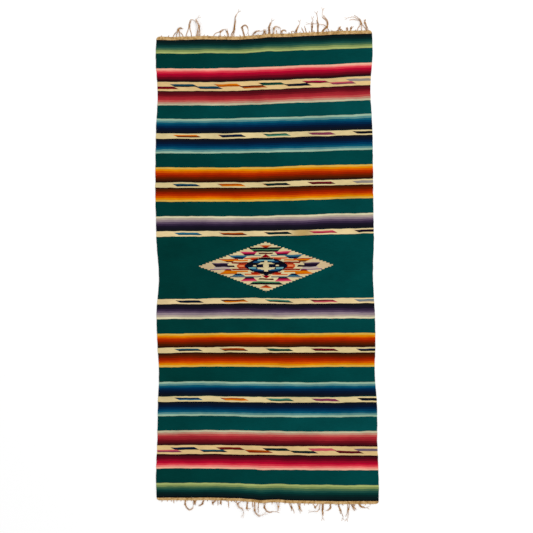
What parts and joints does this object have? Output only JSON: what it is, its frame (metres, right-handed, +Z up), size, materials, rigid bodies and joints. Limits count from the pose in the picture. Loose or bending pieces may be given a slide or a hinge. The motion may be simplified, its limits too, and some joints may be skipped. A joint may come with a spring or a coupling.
{
  "type": "mexican serape",
  "caption": "Flat handwoven wool serape blanket with graded colour bands, a stepped central diamond, plain headings and a knotted warp fringe at each end.",
  "frame": {"origin": "on the flat underside, beneath the middle of the central diamond", "axes": "+Z up out of the cloth's face, +Y along its length towards the top end, +X across it to the right"},
  "size_m": [1.0272, 2.3382, 0.0144],
  "materials": {
    "woven_web": "matt weft-faced wool, dark green ground with graded bands of yellow-green, red, blue, orange and purple",
    "undyed_warp": "undyed tan wool warp, plain heading and loose knotted yarn"
  },
  "bodies": {
    "root": {"serape_web": "woven_web", "fringe_top": "undyed_warp", "fringe_bottom": "undyed_warp"}
  },
  "joints": []
}
